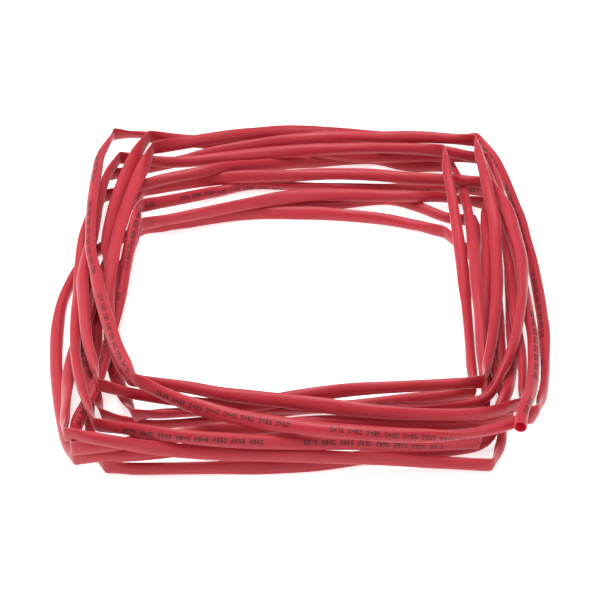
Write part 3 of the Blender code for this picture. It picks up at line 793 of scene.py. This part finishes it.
split = add_node(tree, "ShaderNodeSeparateXYZ", Vector=place.outputs[0])
twice = add_node(tree, "ShaderNodeMath", times, _0=split.outputs[1], _1=EDGES)
to_edge = add_node(tree, "ShaderNodeMath", there_and_back, _0=twice.outputs[0], _1=0.5)
edge_highlight = add_node(tree, "ShaderNodeValToRGB", _0=to_edge.outputs[0])
set_ramp(edge_highlight, EDGE_HIGHLIGHT_RAMP)
folded = add_node(tree, "ShaderNodeAttribute", {"attribute_name": "crease"})
# how much painted highlight a point gets: most on the two edges, and only near a fold
painted_highlight_share = add_node(tree, "ShaderNodeMath", times, _0=edge_highlight.outputs[0], _1=folded.outputs["Fac"])
skin_colour_with_highlight = add_node(
    tree,
    "ShaderNodeMix",
    {"data_type": "RGBA"},
    _0=painted_highlight_share.outputs[0],
    _6=tint.outputs[0],
    # pale pink of the painted highlight on the fold's edges
    _7=linear_colour("e0707c"),
)
print("pale edges take", skin_colour_with_highlight.name)

# %% Fine relief and the bore's glow
SHINIEST, DULLEST = 0.44, 0.58  # roughness of the skin
NOISE_LOW, NOISE_HIGH = 0.35, 0.65  # a noise seldom leaves this range
RELIEF_DEPTH = 0.00006
RELIEF_STRENGTH = 0.35
BORE_GLOW = 0.35  # stands for the light that comes through the thin wall into the bore

dullness = add_node(
    tree,
    "ShaderNodeMapRange",
    Value=patch_noise.outputs[0],
    From_Min=NOISE_LOW,
    From_Max=NOISE_HIGH,
    To_Min=SHINIEST,
    To_Max=DULLEST,
)
relief = add_node(
    tree,
    "ShaderNodeMath",
    {"operation": "ADD"},
    _0=lines_noise.outputs[0],
    _1=patch_noise.outputs[0],
)
bump = add_node(
    tree,
    "ShaderNodeBump",
    Height=relief.outputs[0],
    Strength=RELIEF_STRENGTH,
    Distance=RELIEF_DEPTH,
)
inside = add_node(tree, "ShaderNodeAttribute", {"attribute_name": "bore"})
glow = add_node(tree, "ShaderNodeMath", times, _0=inside.outputs["Fac"], _1=BORE_GLOW)
print("the bore glows at", BORE_GLOW)

# %% The plastic's shader
shader = add_node(
    tree,
    "ShaderNodeBsdfPrincipled",
    Base_Color=skin_colour_with_highlight.outputs[2],
    Roughness=dullness.outputs[0],
    Normal=bump.outputs[0],
    IOR=1.5,
    Emission_Color=linear_colour("b00030"),
    Emission_Strength=glow.outputs[0],
    Sheen_Weight=0.30,
    Sheen_Roughness=0.40,
    Sheen_Tint=linear_colour("ffe8ea"),
    Subsurface_Weight=0.40,
    Subsurface_Radius=(1.0, 0.06, 0.08),  # red light goes much further into the wall
    Subsurface_Scale=0.0008,
)
tree.links.new(shader.outputs[0], output.inputs["Surface"])
tube_mesh.materials.append(material)
print("nodes in the plastic:", len(tree.nodes))

# %% [markdown]
# The printed length marks.
# Tube that is cut to length can carry a plain length scale on one of its flat faces. This one
# gives the distance from the open end in millimetres, every five millimetres, in four numerals.
# The numerals could be an image wrapped round the tube, but a few tiny quads for each stay sharp
# at any distance. One point for each numeral lies along the printed face, and a Geometry Nodes
# tree puts the right numeral on each point and presses it onto the skin.

# %% Numerals from seven bars
NUMERAL_HEIGHT = 0.00136
NUMERAL_WIDTH = 0.00072
STROKE = 0.00024
BARS_OF_NUMERAL = (
    "abcdef", "bc", "abged", "abgcd", "fgbc",
    "afgcd", "acdefg", "abc", "abcdefg", "abcdfg",
)


def bar_corners(bar):
    """Lowest and highest corner of one of the seven bars, named a to g as in a clock."""
    side, top, middle = NUMERAL_WIDTH / 2, NUMERAL_HEIGHT / 2, STROKE / 2
    return {
        "a": (-side, top - STROKE, side, top),
        "b": (side - STROKE, middle, side, top - STROKE),
        "c": (side - STROKE, STROKE - top, side, -middle),
        "d": (-side, -top, side, STROKE - top),
        "e": (-side, STROKE - top, STROKE - side, -middle),
        "f": (-side, middle, STROKE - side, top - STROKE),
        "g": (-side, -middle, side, middle),
    }[bar]


numerals = bpy.data.collections.new("numerals")
for value, bars in enumerate(BARS_OF_NUMERAL):
    places = []
    for bar in bars:
        x0, y0, x1, y1 = bar_corners(bar)
        places += [(x0, y0, 0.0), (x1, y0, 0.0), (x1, y1, 0.0), (x0, y1, 0.0)]
    quads = [tuple(range(4 * n, 4 * n + 4)) for n in range(len(bars))]
    numeral_mesh = bpy.data.meshes.new(f"numeral_{value}")
    numeral_mesh.from_pydata(places, [], quads)
    numerals.objects.link(bpy.data.objects.new(f"numeral_{value}", numeral_mesh))

# %% A point for each numeral
NUMERAL_PITCH = 0.001
NUMBER_PITCH = 0.005
NUMBERS_IN_ROW = 10
SKIPPED = (3, 4)  # the scale skips these of each ten numbers, and so comes in rows with a gap
PRINT_CLEAR = 0.0015  # no print closer to a fold than this

mark_run, mark_value = [], []
for number in range(1, int(ring_run[-1] / NUMBER_PITCH) - 1):
    if number % NUMBERS_IN_ROW in SKIPPED:
        continue
    printed = f"{round(number * NUMBER_PITCH / MILLIMETRE):04d}"
    for k, digit in enumerate(printed):
        mark_run.append(number * NUMBER_PITCH + k * NUMERAL_PITCH)
        mark_value.append(int(digit))
mark_run, mark_value = np.array(mark_run), np.array(mark_value)
clear = np.abs(mark_run[:, None] - fold_run[None]).min(axis=1) > PRINT_CLEAR
mark_run, mark_value = mark_run[clear], mark_value[clear]


def at_marks(rows):
    """Values at the rings, read off at the numerals' places."""
    return np.stack([np.interp(mark_run, ring_run, rows[:, axis]) for axis in range(3)], axis=1)


mark_ahead, mark_out = at_marks(tangents), at_marks(rolled_side)
mark_place = at_marks(centre_line + rolled_side * width[:, None] / 2)
points_mesh = bpy.data.meshes.new("mark_points")
points_mesh.from_pydata([tuple(place) for place in mark_place], [], [])
for name, values in (("outward", mark_out), ("ahead", mark_ahead)):
    attribute = points_mesh.attributes.new(name, "FLOAT_VECTOR", "POINT")
    attribute.data.foreach_set("vector", values.ravel())
attribute = points_mesh.attributes.new("numeral", "INT", "POINT")
attribute.data.foreach_set("value", mark_value)
points = bpy.data.objects.new("mark_points", points_mesh)
bpy.context.scene.collection.objects.link(points)
print("numerals along the tube:", len(mark_run))

# %% [markdown]
# Dried ink.
# The marks are black pigment ink from a jet printer. It dries matt and thin, and the red shows
# through where a drop was weak, so the ink's colour wanders from near black to a dark red brown.

# %% Pigment ink, jet printed
DROPS = 900.0  # changes per metre, so a weak spot is about a millimetre across
INK_ROUGHNESS = 0.6

ink, tree, output = new_material("pigment_ink_jet_printed")
where = add_node(tree, "ShaderNodeTexCoord")
drops = add_node(tree, "ShaderNodeTexNoise", Vector=where.outputs["Object"], Scale=DROPS, Detail=2.0)
weak = add_node(tree, "ShaderNodeValToRGB", _0=drops.outputs[0])
set_ramp(weak, ((0.40, linear_colour("140608")), (0.75, linear_colour("4c1018"))))
shader = add_node(
    tree, "ShaderNodeBsdfPrincipled", Base_Color=weak.outputs[0], Roughness=INK_ROUGHNESS
)
tree.links.new(shader.outputs[0], output.inputs["Surface"])
print("material:", ink.name)

# %% The tree that prints the marks
tree = bpy.data.node_groups.new("print_marks", "GeometryNodeTree")
for name, kind in (
    ("Points", "NodeSocketGeometry"),
    ("Numerals", "NodeSocketCollection"),
    ("Tube", "NodeSocketObject"),
    ("Lift", "NodeSocketFloat"),
    ("Ink", "NodeSocketMaterial"),
):
    tree.interface.new_socket(name, in_out="INPUT", socket_type=kind)
tree.interface.new_socket("Marks", in_out="OUTPUT", socket_type="NodeSocketGeometry")
given = add_node(tree, "NodeGroupInput")
shapes = add_node(
    tree,
    "GeometryNodeCollectionInfo",
    Collection=given.outputs["Numerals"],
    Separate_Children=True,
    Reset_Children=True,
)
vector, whole = {"data_type": "FLOAT_VECTOR"}, {"data_type": "INT"}
outward = add_node(tree, "GeometryNodeInputNamedAttribute", vector, Name="outward")
ahead_way = add_node(tree, "GeometryNodeInputNamedAttribute", vector, Name="ahead")
numeral = add_node(tree, "GeometryNodeInputNamedAttribute", whole, Name="numeral")
turned = add_node(
    tree,
    "FunctionNodeAxesToRotation",
    {"primary_axis": "Z", "secondary_axis": "X"},
    _0=outward.outputs[0],
    _1=ahead_way.outputs[0],
)
placed = add_node(
    tree,
    "GeometryNodeInstanceOnPoints",
    Points=given.outputs["Points"],
    Instance=shapes.outputs[0],
    Pick_Instance=True,
    Instance_Index=numeral.outputs[0],
    Rotation=turned.outputs[0],
)
real = add_node(tree, "GeometryNodeRealizeInstances", _0=placed.outputs[0])
print("nodes up to the loose numerals:", len(tree.nodes))

# %% Press them onto the skin
skin = add_node(tree, "GeometryNodeObjectInfo", _0=given.outputs["Tube"]).outputs["Geometry"]
nearest = add_node(tree, "GeometryNodeProximity", {"target_element": "FACES"}, _0=skin)
raised = add_node(
    tree,
    "ShaderNodeVectorMath",
    {"operation": "SCALE"},
    Vector=outward.outputs[0],
    Scale=given.outputs["Lift"],
)
on_skin = add_node(
    tree, "ShaderNodeVectorMath", {"operation": "ADD"}, _0=nearest.outputs[0], _1=raised.outputs[0]
)
pressed = add_node(
    tree, "GeometryNodeSetPosition", Geometry=real.outputs[0], Position=on_skin.outputs[0]
)
inked = add_node(
    tree, "GeometryNodeSetMaterial", Geometry=pressed.outputs[0], Material=given.outputs["Ink"]
)
add_node(tree, "NodeGroupOutput", _0=inked.outputs[0])
print("nodes in the tree:", len(tree.nodes))

# %% Print the marks
INK_LIFT = 0.00003  # the ink stands this far off the skin, so that no facet covers it

modifier = points.modifiers.new("print_marks", "NODES")
modifier.node_group = tree
chosen = {"Numerals": numerals, "Tube": tube, "Lift": INK_LIFT, "Ink": ink}
for item in tree.interface.items_tree:
    if item.name in chosen:
        modifier[item.identifier] = chosen[item.name]
graph = bpy.context.evaluated_depsgraph_get()
evaluated = points.evaluated_get(graph)
marks_mesh = bpy.data.meshes.new_from_object(evaluated, depsgraph=graph)
marks_mesh.name = "length_marks"
marks_mesh.materials.clear()
marks_mesh.materials.append(ink)
first_slot = np.zeros(len(marks_mesh.polygons), dtype=np.int32)
marks_mesh.polygons.foreach_set("material_index", first_slot)
points.modifiers.remove(modifier)
bpy.data.objects.remove(points)
for shape in list(numerals.objects):
    bpy.data.objects.remove(shape)
bpy.data.collections.remove(numerals)
marks = bpy.data.objects.new("length_marks", marks_mesh)
bpy.context.scene.collection.objects.link(marks)
print("quads in the marks:", len(marks_mesh.polygons))

# %% Hand the pieces to the frame
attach(tube, "root")
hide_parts(CAD_NODE)
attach(marks, "root")
print("riding on root:", tube.name, marks.name)
